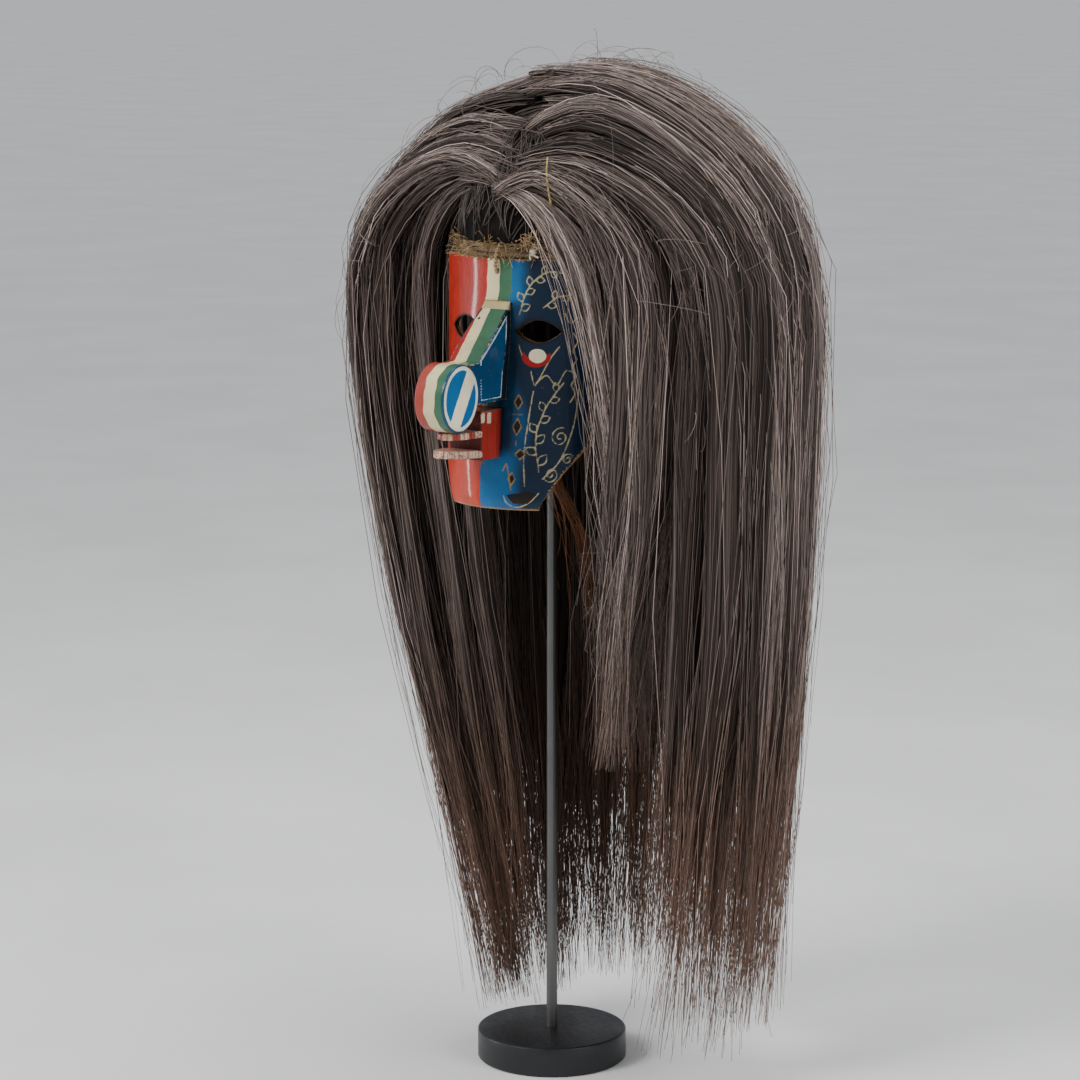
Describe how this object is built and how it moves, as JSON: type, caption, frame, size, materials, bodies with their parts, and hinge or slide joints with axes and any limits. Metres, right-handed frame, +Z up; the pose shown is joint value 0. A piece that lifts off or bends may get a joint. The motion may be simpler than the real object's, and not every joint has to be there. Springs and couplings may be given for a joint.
{
  "type": "dance mask",
  "caption": "Painted dance mask with a carved nose and mouth and a long horsehair wig, held up from inside by a rod on a round steel foot.",
  "frame": {"origin": "centre of the foot's flat underside, on the rod's axis", "axes": "+Z up along the rod, the face looks along -Y, +X is the mask's own left side"},
  "size_m": [0.4104, 0.3671, 0.8395],
  "materials": {
    "steel": "dark satin",
    "face_enamel": "stiff hide under glossy enamel",
    "nose_enamel": "carved wood under glossy enamel",
    "mouth_enamel": "carved wood under worn enamel",
    "fibre": "coarse dry fibre",
    "hair": "horsehair",
    "auburn_hair": "horsehair"
  },
  "bodies": {
    "root": {"stand_base": "steel", "stand_rod": "steel", "mask_face": "face_enamel", "nose": "nose_enamel", "mouth": "mouth_enamel", "front_lacing": "fibre", "wig_cap": "fibre", "hair_crown": "hair", "hair_right": "hair", "hair_left": "hair", "hair_back": "hair", "hair_front_lock": "hair", "chin_lock": "auburn_hair"}
  },
  "joints": []
}
